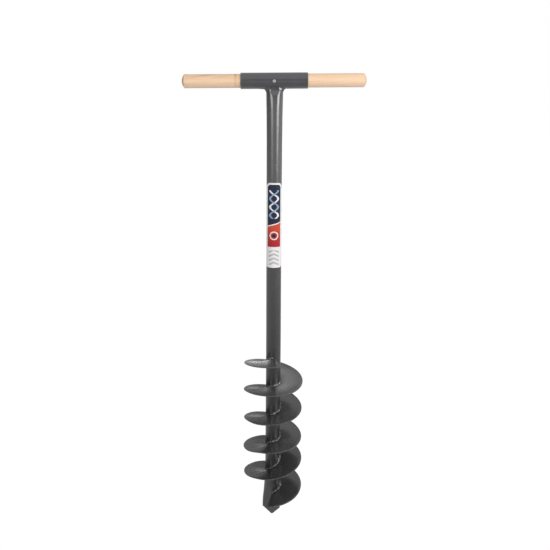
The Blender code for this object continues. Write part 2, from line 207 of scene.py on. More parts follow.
def paint(name, dark, light, rough, grain, grain_depth, worn_and_glint, seed=0.0, pale=None,
          painted_sheen=None, wave_depth=0.0012, across=None):
    """Dark paint over steel: cloudy tone, pebbled skin and rubbed edges; on the weld beads
    the light rubbed tone is partly painted glints.

    pale is (low, high, tone, gloss): painted light, between two heights the paint turns to
    that tone and its roughness changes by that much, so that the better lit height is
    painted lighter.
    across holds (x, share, share of pale): painted light, the tone is scaled from side to
    side to stand in for how the light falls across the part.
    painted_sheen is (low, high, weight): a sheen painted on from low to high and above,
    standing in for light the top turn catches; a little stronger towards the back,
    strongest beside the shaft and missing right in front of it."""
    g = Graph(name)
    co = g.coords()
    place = g.node("ShaderNodeSeparateXYZ")
    g.plug(co, place.inputs[0])
    # painted light: the paint turns lighter higher up, where more light falls
    if pale:
        painted_height_light = g.span(place.outputs[2], pale[0], pale[1], 0.0, 1.0)
    off = g.node("ShaderNodeMapping")
    g.plug(co, off.inputs["Vector"])
    off.inputs["Location"].default_value = (seed, seed * 0.37, seed * 0.71)
    co = off.outputs[0]
    cloud = g.noise(co, 38.0, 4.0, 0.6)
    fine = g.noise(co, 420.0, 2.0, 0.5)
    tone = g.math("MULTIPLY_ADD", fine, 0.35, g.math("MULTIPLY", cloud, 0.65))
    colour = g.ramp(tone, ((0.30, dark), (0.72, light)))

    # painted light: tone scaled from side to side
    def drift(colour, column):
        if not across:
            return colour
        x0, x1 = across[0][0], across[-1][0]
        share = g.ramp(g.span(place.outputs[0], x0, x1, 0.0, 1.0), [
            ((row[0] - x0) / (x1 - x0), (row[column],) * 3) for row in across])
        return g.mix(1.0, colour, share, "MULTIPLY")

    colour = drift(colour, 1)
    if pale:
        colour = g.mix(painted_height_light, colour, drift(g.ramp(tone, (
            (0.30, [0.88 * c for c in pale[2]]), (0.72, [1.12 * c for c in pale[2]]))), 2))
    # rubbed paint; on the weld beads this light tone is partly wear and partly painted
    # glints
    rub_and_glint = g.math("MULTIPLY", g.attribute("wear_and_glint"),
                 g.span(g.noise(co, 160.0, 3.0, 0.7), 0.42, 0.62, 0.0, 1.0),
                 clamp=True)
    colour = g.mix(rub_and_glint, colour, worn_and_glint)
    pebbles = g.cells(co, grain, smooth=0.8)
    skin = g.math("MULTIPLY_ADD", pebbles, 0.6, fine)
    normal = g.bump(skin, 0.55, grain_depth)
    wave = g.noise(co, 26.0, 2.0, 0.5)
    normal = g.bump(wave, 0.35, wave_depth, normal)
    roughness = g.span(tone, 0.3, 0.7, rough - 0.04, rough + 0.05)
    if pale and pale[3]:
        roughness = g.math("MULTIPLY_ADD", painted_height_light, pale[3], roughness)
    # painted sheen: brightens the top turn where it catches light
    if painted_sheen:
        clear = g.math("MAXIMUM",
                       g.span(g.math("ABSOLUTE", place.outputs[0]), 0.004, 0.016, 0.0, 1.0),
                       g.span(place.outputs[1], -0.004, 0.012, 0.0, 1.0))
        sheen_mask = g.math("MULTIPLY", clear,
                      g.span(place.outputs[2], painted_sheen[0], painted_sheen[1], 0.0, 1.0))
        sheen_mask = g.math("MULTIPLY", sheen_mask,
                      g.span(place.outputs[1], -0.050, 0.055, 1.20, 1.22))
        # the painted sheen is strongest beside the shaft
        far = g.math("SQRT", g.math(
            "ADD", g.math("MULTIPLY", place.outputs[0], place.outputs[0]),
            g.math("MULTIPLY", place.outputs[1], place.outputs[1])))
        sheen_mask = g.math("MULTIPLY", sheen_mask, g.span(far, 0.032, 0.064, 1.46, 0.32))
        g.set(sheen=g.math("MULTIPLY", sheen_mask, g.span(cloud, 0.3, 0.7, 0.9 * painted_sheen[2],
                                                    1.1 * painted_sheen[2])))
    return g.set(colour=colour, rough=roughness, normal=normal, ior=1.75)


# painted light: the tube is painted lighter towards the top and darker low down among the
# blades, standing in for the light that falls off down the shaft
TUBE_PAINT = paint("tube_paint", (0.013, 0.013, 0.0131), (0.016, 0.016, 0.0161),
                   0.30, 900.0, 0.00010, (0.070, 0.070, 0.070),
                   pale=(0.42, 0.92, (0.056, 0.056, 0.0565), -0.10))
SLEEVE_PAINT = paint("sleeve_paint", (0.036, 0.0365, 0.040), (0.047, 0.0475, 0.052),
                     0.20, 700.0, 0.00012, (0.080, 0.080, 0.082), 3.1)
# painted light and shade: the blades are painted lighter on the higher turns and darker on
# the lowest, which the turns above shade, lightest at the far left and darker beside the
# shaft
BLADE_PAINT = paint("blade_paint", (0.0740, 0.0731, 0.0731), (0.0918, 0.0907, 0.0903),
                    0.27, 800.0, 0.00010, (0.068, 0.068, 0.067), 7.7,
                    pale=(0.190, 0.245, (0.1440, 0.1390, 0.1386), 0.0),
                    # painted sheen on the top turn
                    painted_sheen=(0.3740, 0.3805, 0.57), wave_depth=0.0004,
                    across=((-0.075, 1.0, 0.42), (-0.022, 0.23, 0.24), (0.022, 0.39, 0.34),
                            (0.075, 0.28, 0.30)))
# the beads' light rubbed tone is partly wear and partly painted glints
WELD_PAINT = paint("weld_paint", (0.015, 0.015, 0.0151), (0.023, 0.023, 0.0232),
                   0.25, 1200.0, 0.00010, (0.240, 0.240, 0.238), 1.3)
SOCKET_PAINT = paint("socket_weld_paint", (0.023, 0.023, 0.0232), (0.036, 0.036, 0.0363),
                     0.22, 1200.0, 0.00014, (0.085, 0.085, 0.085), 2.2)


def wood_material():
    """Straight-grained pale dowel, tan to the left, with a few darker streaks."""
    g = Graph("ash_wood")
    co = g.coords()
    xyz = g.node("ShaderNodeSeparateXYZ")
    g.plug(co, xyz.inputs[0])
    x, y, z = xyz.outputs
    # height above the dowel's own centre line
    rise = g.math("SUBTRACT", z, g.math("MULTIPLY_ADD", x, HANDLE_TILT, HANDLE_Z))
    drift = g.noise(g.stretch(co, (5.0, 22.0, 22.0)), 1.0, 2.0, 0.5)
    wander = g.math("MULTIPLY_ADD", drift, 0.012, -0.006)
    # growth rings about a pith that lies outside the dowel and leans a little
    dy = g.math("ADD", g.math("MULTIPLY_ADD", x, 0.050, y), 0.050)
    dz = g.math("ADD", g.math("MULTIPLY_ADD", x, -0.060, rise), -0.016)
    dist = g.math("SQRT", g.math("ADD", g.math("MULTIPLY", dy, dy),
                                 g.math("MULTIPLY", dz, dz)))
    dist = g.math("ADD", dist, wander)
    rings = g.math("SINE", g.math("MULTIPLY", dist, 1250.0))
    rings = g.math("POWER", g.span(rings, -1.0, 1.0, 0.0, 1.0), 2.2)
    pores = g.noise(g.stretch(co, (30.0, 1400.0, 1400.0)), 1.0, 3.0, 0.6)
    streak = g.noise(g.stretch(co, (6.0, 210.0, 210.0)), 1.0, 3.0, 0.6)
    blush = g.noise(g.stretch(co, (9.0, 60.0, 60.0)), 1.0, 2.0, 0.5)
    side = g.span(x, -0.20, 0.20, 0.0, 1.0)
    pale = g.mix(side, (0.660, 0.468, 0.320), (0.715, 0.510, 0.352))
    deep = g.mix(side, (0.540, 0.345, 0.208), (0.650, 0.420, 0.258))
    fac = g.math("MULTIPLY_ADD", rings, 0.24,
                 g.span(streak, 0.40, 0.72, 0.0, 0.46), clamp=True)
    colour = g.mix(fac, pale, deep)
    colour = g.mix(g.span(blush, 0.35, 0.70, 0.0, 0.30), colour,
                   (0.730, 0.480, 0.300))
    colour = g.mix(g.span(pores, 0.60, 0.74, 0.0, 0.22), colour,
                   (0.47, 0.29, 0.175))
    front = g.span(y, 0.002, -0.004, 0.0, 1.0)

    def vein(x0, rise0, x1, rise1, width, ragged):
        """Soft line along the front from one point of the dowel to another."""
        slope = (rise1 - rise0) / (x1 - x0)
        line = g.math("MULTIPLY_ADD", x, slope, rise0 - slope * x0)
        off = g.math("SUBTRACT", rise, line)
        off = g.math("ADD", off, g.math("MULTIPLY_ADD", drift, ragged, -ragged / 2))
        near = g.span(g.math("ABSOLUTE", off), 0.0, width, 1.0, 0.0)
        along = g.math("MULTIPLY", g.span(x, x0 - 0.012, x0 + 0.014, 0.0, 1.0),
                       g.span(x, x1 - 0.016, x1 + 0.010, 1.0, 0.0))
        return g.math("MULTIPLY", g.math("MULTIPLY", near, along), front)

    # (x, height) of both ends, width, ragged edge, weight and colour of each streak
    for x0, r0, x1, r1, width, ragged, weight, tint in (
            (-0.202, 0.0068, -0.166, 0.0127, 0.0022, 0.0010, 0.38, (0.400, 0.232, 0.135)),
            (-0.172, 0.0124, -0.138, 0.0148, 0.0020, 0.0006, 0.85, (0.400, 0.232, 0.135)),
            (-0.210, 0.0040, -0.168, 0.0092, 0.0017, 0.0010, 0.50, (0.640, 0.385, 0.170)),
            (-0.142, 0.0072, -0.097, 0.0136, 0.0017, 0.0008, 0.62, (0.440, 0.330, 0.200)),
            (-0.196, -0.0030, -0.110, 0.0024, 0.0016, 0.0020, 0.22, (0.560, 0.420, 0.260)),
            (-0.170, -0.0085, -0.084, -0.0070, 0.0016, 0.0016, 0.30, (0.520, 0.370, 0.280)),
            (0.083, 0.0102, 0.111, 0.0058, 0.0014, 0.0008, 0.52, (0.520, 0.370, 0.200)),
            (0.101, 0.0078, 0.192, 0.0089, 0.0012, 0.0010, 0.45, (0.560, 0.400, 0.260)),
            (0.110, 0.0124, 0.152, 0.0117, 0.0020, 0.0008, 0.60, (0.700, 0.500, 0.250)),
            (0.090, -0.0050, 0.180, -0.0034, 0.0018, 0.0020, 0.22, (0.620, 0.420, 0.260))):
        colour = g.mix(g.math("MULTIPLY", vein(x0, r0, x1, r1, width, ragged), weight),
                       colour, tint)
    # small knot beside the sleeve, with the grain bent round it
    kx = g.math("ABSOLUTE", g.math("ADD", x, 0.0895))
    band = g.span(g.math("MULTIPLY_ADD", g.noise(co, 150.0, 2.0, 0.5), 0.004, kx),
                  0.0030, 0.0062, 1.0, 0.0)
    patch = g.span(g.noise(g.stretch(co, (60.0, 60.0, 140.0)), 1.0, 2.0, 0.6),
                   0.34, 0.62, 0.30, 0.75)
    colour = g.mix(g.math("MULTIPLY", band, g.math("MULTIPLY", patch, front)), colour,
                   (0.520, 0.305, 0.160))
    heart = g.math("SQRT", g.math("ADD", g.math("MULTIPLY", g.math(
        "ADD", x, 0.0905), g.math("ADD", x, 0.0905)), g.math("MULTIPLY", g.math(
            "ADD", rise, -0.0128), g.math("ADD", rise, -0.0128))))
    heart = g.span(g.math("MULTIPLY_ADD", g.noise(co, 300.0, 2.0, 0.5), 0.0022, heart),
                   0.0024, 0.0056, 1.0, 0.0)
    colour = g.mix(g.math("MULTIPLY", g.math("MULTIPLY", heart, front), 0.60), colour,
                   (0.360, 0.190, 0.100))
    # painted reflection: the underside is painted paler and greyer, standing in for the
    # pale floor it mirrors
    colour = g.mix(g.span(rise, -0.0075, -0.0150, 0.0, 0.60), colour,
                   (0.650, 0.530, 0.440))
    # darker at the domed ends, more so on the left
    far = g.math("ABSOLUTE", g.math("SUBTRACT", x, HANDLE_X))
    grain_end = g.math("MULTIPLY", g.span(far, 0.2060, 0.2100, 0.0, 1.0),
                       g.span(side, 0.0, 1.0, 1.0, 0.45))
    colour = g.mix(g.math("MULTIPLY", grain_end, g.span(
        g.noise(co, 420.0, 3.0, 0.6), 0.35, 0.65, 0.45, 0.80)), colour,
        (0.340, 0.225, 0.160))
    rough = g.span(pores, 0.3, 0.7, 0.48, 0.64)
    relief = g.math("MULTIPLY_ADD", rings, 0.4, pores)
    normal = g.bump(relief, 0.30, 0.00012)
    return g.set(colour=colour, rough=rough, normal=normal)


WOOD = wood_material()


def zinc_material():
    g = Graph("zinc")
    co = g.coords()
    spin = g.noise(co, 900.0, 3.0, 0.6)
    colour = g.ramp(spin, ((0.3, (0.35, 0.35, 0.35)), (0.7, (0.44, 0.44, 0.435))))
    return g.set(colour=colour, metal=1.0, rough=g.span(spin, 0.3, 0.7, 0.42, 0.56),
                 normal=g.bump(spin, 0.2, 0.00005))


ZINC = zinc_material()


def sticker_material():
    """Printed film: white border, plain colour fields and crossing ribbons."""
    g = Graph("sticker")
    uv = g.node("ShaderNodeUVMap", uv_map="film").outputs[0]
    sep = g.node("ShaderNodeSeparateXYZ")
    g.plug(uv, sep.inputs[0])
    u, v = sep.outputs[0], sep.outputs[1]      # metres across and up the film
    white, red, navy = (0.68, 0.66, 0.66), (0.33, 0.012, 0.018), (0.005, 0.012, 0.034)
    grey, sky, flame = (0.30, 0.30, 0.31), (0.20, 0.30, 0.42), (0.52, 0.060, 0.022)

    def inside(value, low, high, soft=0.00025):
        a = g.span(value, low - soft, low + soft, 0.0, 1.0)
        b = g.span(value, high - soft, high + soft, 1.0, 0.0)
        return g.math("MULTIPLY", a, b)

    height = LABEL_TOP - LABEL_BOTTOM
    # navy above, a red block below it, parted by a white slanted line
    slant = g.math("MULTIPLY_ADD", u, -0.30, v)
    field = g.mix(g.span(slant, 0.1085, 0.1095, 0.0, 1.0), g.mix(
        g.span(v, 0.060, 0.100, 0.0, 0.8), red, flame), navy)
    field = g.mix(inside(slant, 0.1062, 0.1088), field, white)
    # two ribbons that cross like a screw thread
    for phase, tint in ((0.0, white), (math.pi, sky)):
        ribbon = g.math("MULTIPLY", g.math(
            "SINE", g.math("MULTIPLY_ADD", v, 2 * math.pi / 0.040, phase)), 0.0098)
        off = g.math("ABSOLUTE", g.math("SUBTRACT", u, ribbon))
        band = g.span(off, 0.0024, 0.0029, 1.0, 0.0)
        band = g.math("MULTIPLY", band, inside(v, 0.122, 0.190))
        field = g.mix(band, field, tint)
    # plain ring and dot in the red block
    dv = g.math("SUBTRACT", v, 0.080)
    r = g.math("SQRT", g.math("ADD", g.math("MULTIPLY", u, u),
                              g.math("MULTIPLY", dv, dv)))
    field = g.mix(inside(r, 0.0080, 0.0106), field, white)
    field = g.mix(g.span(r, 0.0043, 0.0048, 1.0, 0.0), field, navy)
    # the print stops short of the film's edge, with rounded corners at the top
    low, high, wide, corner = 0.0520, height - 0.0042, 0.0168, 0.0090
    across = g.math("MAXIMUM", g.math("SUBTRACT", g.math("ABSOLUTE", u),
                                      wide - corner), 0.0)
    over = g.math("MAXIMUM", g.math("SUBTRACT", v, high - corner), 0.0)
    out = g.math("SQRT", g.math("ADD", g.math("MULTIPLY", across, across),
                                g.math("MULTIPLY", over, over)))
    printed = g.math("MULTIPLY", g.span(out, corner - 0.0002, corner + 0.0002,
                                        1.0, 0.0),
                     g.span(v, low - 0.0002, low + 0.0002, 0.0, 1.0))
    colour = g.mix(printed, white, field)
    # white panel with grey chevrons below
    fold = g.math("MULTIPLY_ADD", g.math("ABSOLUTE", u), 0.55, v)
    zig = g.math("FRACT", g.math("DIVIDE", fold, 0.0105))
    zig = g.math("MULTIPLY", inside(zig, 0.10, 0.55, 0.05), inside(v, 0.007, 0.044))
    zig = g.math("MULTIPLY", zig, inside(u, -0.0125, 0.0125))
    colour = g.mix(g.math("MULTIPLY", zig, 0.75), colour, grey)
    fibres = g.noise(g.coords(), 900.0, 2.0, 0.5)
    colour = g.mix(g.span(fibres, 0.3, 0.7, 0.0, 0.06), colour, (0.4, 0.4, 0.4))
    wrinkle = g.noise(g.stretch(g.coords(), (60.0, 60.0, 18.0)), 1.0, 2.0, 0.5)
    normal = g.bump(wrinkle, 0.20, 0.0004)
    return g.set(colour=colour, rough=g.span(fibres, 0.3, 0.7, 0.20, 0.28),
                 normal=normal, specular=0.16)


STICKER = sticker_material()


# ================================================================= meshes
def make(bm, name, mat, nodes, sharp=35.0):
    bmesh.ops.recalc_face_normals(bm, faces=bm.faces[:])
    if bm.calc_volume(signed=True) < 0:
        bmesh.ops.reverse_faces(bm, faces=bm.faces[:])
    me = bpy.data.meshes.new(name)
    bm.to_mesh(me)
    bm.free()
    me.materials.append(mat)
    ob = bpy.data.objects.new(name, me)
    scene.collection.objects.link(ob)
    me.shade_smooth()
    me.set_sharp_from_angle(angle=math.radians(sharp))
    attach(ob, "root")
    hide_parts(*nodes)
    return ob


def loft(rings, caps=True, around=False, wear_and_glint=None):
    """Skin between rings of equal point count.  The mask (ring, point) marks rubbed paint,
    and on the weld beads painted glints.
    """
    bm = bmesh.new()
    layer = bm.verts.layers.float.new("wear_and_glint")
    rows = []
    for j, ring in enumerate(rings):
        row = []
        for i, p in enumerate(ring):
            v = bm.verts.new(p)
            v[layer] = wear_and_glint(j, i) if wear_and_glint else 0.0
            row.append(v)
        rows.append(row)
    n = len(rows[0])
    pairs = list(zip(rows, rows[1:]))
    if around:
        pairs.append((rows[-1], rows[0]))
    for a, b in pairs:
        for i in range(n):
            j = (i + 1) % n
            bm.faces.new((a[i], a[j], b[j], b[i]))
    if caps and not around:
        bm.faces.new(list(reversed(rows[0])))
        bm.faces.new(rows[-1])
    return bm


def revolve(profile, steps, wear_and_glint=None):
    """Rings about Z from (radius, height); first and last radius close to a point."""
    rings = []
    for r, z in profile:
        rings.append([Vector((r * math.cos(2 * math.pi * i / steps),
                              r * math.sin(2 * math.pi * i / steps), z))
                      for i in range(steps)])
    return rings


def lerp_table(table, z):
    if z <= table[0][0]:
        return table[0][1]
    for (z0, v0), (z1, v1) in zip(table, table[1:]):
        if z <= z1:
            t = (z - z0) / (z1 - z0)
            return v0 + (v1 - v0) * t
    return table[-1][1]


def shaft_radius(z):
    return lerp_table(TUBE_FORM, z)


def section(z):
    if z < PRESSED[0][0]:
        t = z / PRESSED[0][0]
        top = PRESSED[0][1]
        return (TIP_HALF_WIDTH + (top - TIP_HALF_WIDTH) * t,
                TIP_HALF_THICK + (PRESSED_MIN_HALF - TIP_HALF_THICK)
                * min(1.0, 1.9 * t), POINT_TURN)
    if z < PRESSED[-1][0]:
        a = lerp_table(PRESSED, z)
    elif z > TOP[0][0]:
        return (lerp_table([(h, a) for h, a, _ in TOP], z),
                lerp_table([(h, b) for h, _, b in TOP], z), 0.0)
    else:
        return shaft_radius(z), shaft_radius(z), POINT_TURN
    b = (2 * math.pi * shaft_radius(z) - 4 * a) / (2 * math.pi - 4)
    return a, min(a, max(PRESSED_MIN_HALF, b)), POINT_TURN


def lean(z):
    """Sideways offset of the shaft's centre, from pressing the end flat."""
    return lerp_table(LEAN, z)


def section_ring(z, sides, inset=0.0, height=None):
    a, b, turn = section(z)
    off = lean(z)
    a, b = max(a - inset, 0.0004), max(b - inset, 0.0004)
    b = min(a, b)
    ca, sa = math.cos(turn), math.sin(turn)
    ring = []
    for i in range(sides):
        t = 2 * math.pi * (i + 0.5) / sides
        c, s = math.cos(t), math.sin(t)
        x, y = math.copysign(a - b, c) + b * c, b * s
        if x > 0 and z < NICK[-1][0]:
            x *= 1 - lerp_table(NICK, z)
        px, py = x * ca - y * sa + off, x * sa + y * ca
        ring.append(Vector((px, py, z if height is None else height(px, py))))
    return ring


def tube_radius(angle, z):
    a, b, turn = section(z)
    flat, t, off = a - b, angle - turn, lean(z)
    dx, dy = math.cos(t), math.sin(t)
    ox, oy = -off * math.cos(turn), off * math.sin(turn)
    best = 0.0
    for middle in (flat, -flat):
        along = (ox - middle) * dx + oy * dy
        q = along ** 2 - (ox - middle) ** 2 - oy ** 2 + b * b
        if q > 0:
            best = max(best, math.sqrt(q) - along)
    if abs(dy) > 1e-9:
        r = (math.copysign(b, dy) - oy) / dy
        if abs(ox + r * dx) <= flat:
            best = max(best, r)
    return best


def clear_radius(angle, z, gap):
    return max(tube_radius(angle, z + d) for d in (-0.004, 0.0, 0.004)) + gap


def polar(r, angle, z):
    return Vector((r * math.cos(angle), r * math.sin(angle), z))


def ring_lift(t, k):
    """Smooth run through the ring's high and low places; nothing at its ends."""
    table = ((0.0, 0.0),) + RING_LIFT[k] + ((1.0, 0.0),)
    t = min(1.0, max(0.0, t))
    for (t0, v0), (t1, v1) in zip(table, table[1:]):
        if t <= t1:
            u = (t - t0) / (t1 - t0)
            return v0 + (v1 - v0) * u * u * (3 - 2 * u)


def rim_height(angle, k):
    t = (angle - RING_ENDS[k]) / (RING_ENDS[k + 1] - RING_ENDS[k])
    once, dish, twice = RING_FORM[k]
    return (RING_Z[k] + (RING_Z[k + 1] - RING_Z[k]) * t
            + once * math.sin(2 * math.pi * t)
            + dish * (1 - math.cos(2 * math.pi * t)) / 2
            + twice * math.sin(4 * math.pi * t) + ring_lift(t, k))


def rim_radius(angle, k):
    r, ex, ey = RING_OUTER[k]
    return r + ex * math.cos(angle) + ey * math.sin(angle)


# ---- dowel ----
HANDLE = (Matrix.Translation((HANDLE_X, 0.0, HANDLE_Z))
          @ Matrix.Rotation(-HANDLE_TILT, 4, "Y"))
half = DOWEL_LEN / 2


def cap_depth(r):
    return (math.sqrt(DOWEL_CAP_R ** 2 - DOWEL_FLAT ** 2)
            - math.sqrt(DOWEL_CAP_R ** 2 - r * r))


end = [(r, half - cap_depth(r)) for r in
       (0.0040, 0.0048, 0.0060, 0.0075, 0.0090, 0.0105, 0.0120, 0.0132, 0.0142,
        0.01505)]
shoulder = half - cap_depth(DOWEL_R)
for t in (0.25, 0.5, 0.75, 1.0):            # corner rubbed round
    a, b, c = (1 - t) ** 2, 2 * t * (1 - t), t * t
    end.append((a * 0.01505 + (b + c) * DOWEL_R,
                a * end[9][1] + b * shoulder + c * (shoulder - 0.0009)))
straight = shoulder - 0.0009
profile = [(0.0002, half), (0.0020, half)] + end
profile += [(DOWEL_R, straight - 2 * straight * i / 24) for i in range(1, 24)]
profile += [(r, -z) for r, z in reversed(end)] + [(0.0020, -half), (0.0002, -half)]
bm = loft(revolve(profile, 72))
bm.transform(HANDLE @ Matrix.Rotation(math.pi / 2, 4, "Y"))
make(bm, "dowel_turned", WOOD, ["handle_dowel"], 40.0)

# ---- sleeve: outside, rounded ends and bore ----
hs = SLEEVE_LEN / 2
outer = []
for i in range(7):
    t = math.pi / 2 * i / 6
    outer.append((SLEEVE_R - SLEEVE_EDGE * (1 - math.sin(t)),
                  hs - SLEEVE_EDGE * (1 - math.cos(t))))
profile = [(SLEEVE_BORE_R, hs - 0.0002), (SLEEVE_BORE_R + 0.0002, hs)] + outer
profile += [(SLEEVE_R, hs - SLEEVE_EDGE - (2 * hs - 2 * SLEEVE_EDGE) * i / 30)
            for i in range(1, 30)]
profile += [(r, -z) for r, z in reversed(outer)]
profile += [(SLEEVE_BORE_R + 0.0002, -hs), (SLEEVE_BORE_R, -hs + 0.0002)]


def sleeve_wear(j, i):
    return 1.0 if j < 8 or j > len(profile) - 10 else 0.0


bm = loft(revolve(profile, 96), around=True, wear_and_glint=sleeve_wear)
bm.transform(HANDLE @ Matrix.Rotation(math.pi / 2, 4, "Y"))
make(bm, "sleeve_tube", SLEEVE_PAINT, ["handle_sleeve"], 50.0)

# ---- screw: domed head with a cross recess, on its shank ----
seg = 48
arm, arm_w, depth = 0.0022, 0.00055, 0.0012
bm = bmesh.new()
bm.verts.layers.float.new("wear_and_glint")
levels = 16
rows = []
for j in range(levels + 1):
    rr = SCREW_HEAD_R * (j / levels) ** 0.9 if j else 0.00008
    row = []
    for i in range(seg):
        t = 2 * math.pi * i / seg
        x, y = rr * math.cos(t), rr * math.sin(t)
        q = min(1.0, rr / SCREW_HEAD_R)
        z = 0.0006 + (SCREW_HEAD_H - 0.0006) * (1 - q ** 2.6) ** 0.55
        ax, ay = abs(x), abs(y)
        in_arm = min(max(0.0, 1 - max(0.0, ax - arm_w) / 0.0002)
                     * max(0.0, 1 - max(0.0, ay - arm) / 0.0003)
                     + max(0.0, 1 - max(0.0, ay - arm_w) / 0.0002)
                     * max(0.0, 1 - max(0.0, ax - arm) / 0.0003), 1.0)
        z -= depth * in_arm * (1 - 0.35 * rr / arm if rr < arm else 0.65)
        row.append(bm.verts.new((x, y, z)))
    rows.append(row)
for r, z in ((SCREW_HEAD_R, 0.0002), (SCREW_HEAD_R - 0.0002, 0.0),
             (0.0021, 0.0), (0.0021, -0.019), (0.0002, -0.024)):
    rows.append([bm.verts.new((r * math.cos(2 * math.pi * i / seg),
                               r * math.sin(2 * math.pi * i / seg), z))
                 for i in range(seg)])
for a, b in zip(rows, rows[1:]):
    for i in range(seg):
        j = (i + 1) % seg
        bm.faces.new((a[i], a[j], b[j], b[i]))
bm.faces.new(list(reversed(rows[0])))
bm.faces.new(rows[-1])
bm.transform(HANDLE @ Matrix.Translation((0, -SLEEVE_R - GAP, 0.0))
             @ Matrix.Rotation(math.pi / 2, 4, "X")
             @ Matrix.Rotation(math.radians(20), 4, "Z"))
make(bm, "screw_pan_head", ZINC, ["handle_screw"], 30.0)


# ---- shaft tube ----
def saddle(radius):
    def height(x, y):
        return (HANDLE_Z + (x - HANDLE_X) * math.tan(HANDLE_TILT)
                - math.sqrt(max(0.0, radius ** 2 - y ** 2)) / math.cos(HANDLE_TILT))
    return height


SIDES = 96
stations = [0.0, 0.0015, 0.003, 0.006, 0.010, 0.014, 0.017, 0.0188, 0.021, 0.0225,
            0.024]
z = 0.028
while z < 0.168:
    stations.append(z)
    z += 0.006
stations += [0.168 + 0.02 * i for i in range(1, 41)]
stations += [0.980 + 0.004 * i for i in range(15)]
stations += [1.040 + 0.0015 * i for i in range(50)]
outer = []
for z in stations:
    ring = section_ring(z, SIDES)
    if 0.0005 < z < 0.17:
        # hammered flat: the pressed faces are a little uneven
        for p in ring:
            d = noise.noise(Vector((p.x * 60, p.y * 60, p.z * 45))) * 0.00025
            p.x *= 1 + d / max(0.004, p.length)
            p.y *= 1 + d * 8
    outer.append(ring)
outer.append(section_ring(1.120, SIDES, height=saddle(SLEEVE_R + GAP)))
inner = [section_ring(1.120, SIDES, TUBE_WALL, saddle(SLEEVE_R + GAP))]
inner += [section_ring(z, SIDES, TUBE_WALL) for z in (1.107, 1.033)]
inner += [section_ring(z, SIDES, TUBE_WALL) for z in (0.168, 0.093, 0.054)]


def tube_wear(j, i):
    return 0.10 if stations[min(j, len(stations) - 1)] < 0.020 else 0.0


make(loft(outer + inner, wear_and_glint=tube_wear), "shaft_drawn_tube", TUBE_PAINT,
     ["shaft_tube"], 40.0)


# ---- flight rings ----
def plate_section(angle, k, lead):
    z = rim_height(angle, k)
    ro = rim_radius(angle, k)
    h = PLATE / 2
    ri = clear_radius(angle, z, FIT)
    e = 0.0007
    flat = []
    for s in (0.0, 0.12, 0.3, 0.5, 0.7, 0.88):
        flat.append(ri + (ro - e - ri) * s)

    def sway(r):
        p = polar(r, angle, z)
        lift = (r - ri) / (ro - ri)
        return 0.00030 * lift * noise.noise(p * 34.0 + Vector((k * 3.7, 0, 0)))

    pts = [(r, z - h + sway(r)) for r in flat]
    w = sway(ro)
    pts += [(ro - e, z - h + w)]
    pts += [(ro - e * (1 - math.sin(t)), z - h + w + e * (1 - math.cos(t)))
            for t in (0.5, 1.05, math.pi / 2)]
    pts += [(ro - e * (1 - math.cos(t)), z + h + w - e * (1 - math.sin(t)))
            for t in (0.0, 0.5, 1.05)]
    pts += [(ro - e, z + h + w)]
    pts += [(r, z + h + sway(r)) for r in reversed(flat)]
    return [polar(r, angle + lead / r, pz) for r, pz in pts]


for k in range(5):
    a0, a1 = RING_ENDS[k], RING_ENDS[k + 1]
    steps = int(round(math.degrees(a1 - a0) / 2.0))
    rings = []
    for i in range(steps + 1):
        lead = 0.0
        if i == 0 and k > 0:
            lead = GAP / 2
        if i == steps and k < 4:
            lead = -GAP / 2
        rings.append(plate_section(a0 + (a1 - a0) * i / steps, k, lead))
    count = len(rings[0])

    def plate_wear(j, i, steps=steps, k=k):
        rim = 6 <= i <= 13
        lip = (k == 0 and j <= 1) or (k == 4 and j >= steps - 1)
        return 1.0 if rim else (0.8 if lip else 0.0)

    make(loft(rings, wear_and_glint=plate_wear), f"flight_ring_{k + 1}", BLADE_PAINT,
         [f"flight_{k + 1}"], 30.0)


# ---- welds along the tube ----
def step_angle(k, i):
    """Angle of the i-th six-degree step of ring k; below zero, of the one before."""
    if i < 0:
        k, i = k - 1, i + ring_steps(k - 1)
    return RING_ENDS[k] + (RING_ENDS[k + 1] - RING_ENDS[k]) * i / ring_steps(k)


def ring_steps(k):
    return int(round(math.degrees(RING_ENDS[k + 1] - RING_ENDS[k]) / 6.0))


def bead(name, node, k, a0, a1, blobs, seed):
    """Rippled fillet bead.  It swells at blobs, (degrees from the front, size)."""
    steps = 170
    front = math.radians(-90.0 + 360.0 * k)
    rings = []
    for i in range(steps + 1):
        t = i / steps
        angle = a0 + (a1 - a0) * t
        az = math.degrees(angle - front)
        swell = sum(s * math.exp(-((az - at) / 5.5) ** 2) for at, s in blobs)
        thin = 1.0 if k == 0 else 0.52 + 0.48 * min(1.0, max(0.0, (az + 22) / 26))
        ends = min(1.0, 0.30 + 10.0 * min(t, 1 - t))
        drift = noise.noise(Vector((az * 0.045, seed, k * 1.7)))
        phase = (az / 6.5 + 0.3 * drift) % 1.0
        thin *= 1.0 - 0.25 * min(1.0, max(0.0, (az - 28) / 14))
        size = ends * thin * (0.90 + 0.14 * drift + 0.05 * (phase - 0.5)) + swell
        on = k if angle >= RING_ENDS[k] else k - 1
        z0 = rim_height(angle, on) + PLATE / 2 + GAP
        r0 = clear_radius(angle, z0 + 0.0035, FIT)
        ring = [polar(r0, angle, z0)]
        for s in range(11):
            # an ellipse whose widest point is a little above the plate
            q = math.radians(-46.0 + 136.0 * s / 10)
            rr = r0 + 0.88 * BEAD_FOOT * size * math.cos(q)
            zz = z0 + BEAD_RISE * size * max(0.0, 0.42 + 0.58 * math.sin(q))
            swing = math.radians(1.4) * math.sin(math.pi * s / 10) * ends
            ring.append(polar(rr, angle + swing, zz))
        rings.append(ring)
    # light patches along the bead: partly rubbed paint, partly painted glints
    return make(loft(rings, wear_and_glint=lambda j, i: 0.4 + 0.4 * ((j * 26 / 170) % 1.0)),
                name, WELD_PAINT, [node], 45.0)


